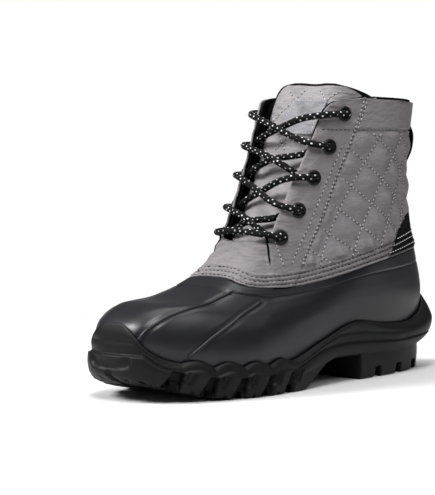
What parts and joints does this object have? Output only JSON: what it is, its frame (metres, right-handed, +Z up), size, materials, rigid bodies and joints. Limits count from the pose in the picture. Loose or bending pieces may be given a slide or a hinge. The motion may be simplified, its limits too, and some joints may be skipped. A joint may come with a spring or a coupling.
{
  "type": "winter boot",
  "caption": "Left lace-up winter boot with a moulded rubber shell, a quilted fabric shaft, a padded tongue and a lugged rubber outsole.",
  "frame": {"origin": "middle of the bounding box's underside, on the floor the boot stands on", "axes": "+X towards the toe, +Y towards the outer side of the foot, +Z up"},
  "size_m": [0.2904, 0.0994, 0.1964],
  "materials": {
    "outsole_rubber": "matte",
    "shell_rubber": "satin",
    "shaft_fabric": "matte",
    "tongue_fabric": "matte",
    "heel_fabric": "matte",
    "loop_webbing": "matte",
    "insole_foam": "matte",
    "eyelet": "satin",
    "lace": "matte"
  },
  "bodies": {
    "root": {"outsole": "outsole_rubber", "insole": "insole_foam", "upper_shell": "shell_rubber", "upper_shaft": "shaft_fabric", "tongue": "tongue_fabric", "heel_patch": "heel_fabric", "pull_loop": "loop_webbing", "eyelet_lateral_1": "eyelet", "eyelet_lateral_2": "eyelet", "eyelet_lateral_3": "eyelet", "eyelet_lateral_4": "eyelet", "eyelet_lateral_5": "eyelet", "eyelet_medial_1": "eyelet", "eyelet_medial_2": "eyelet", "eyelet_medial_3": "eyelet", "eyelet_medial_4": "eyelet", "eyelet_medial_5": "eyelet", "lace_bar": "lace", "lace_cross_1": "lace", "lace_cross_2": "lace", "lace_cross_3": "lace", "lace_cross_4": "lace"}
  },
  "joints": []
}
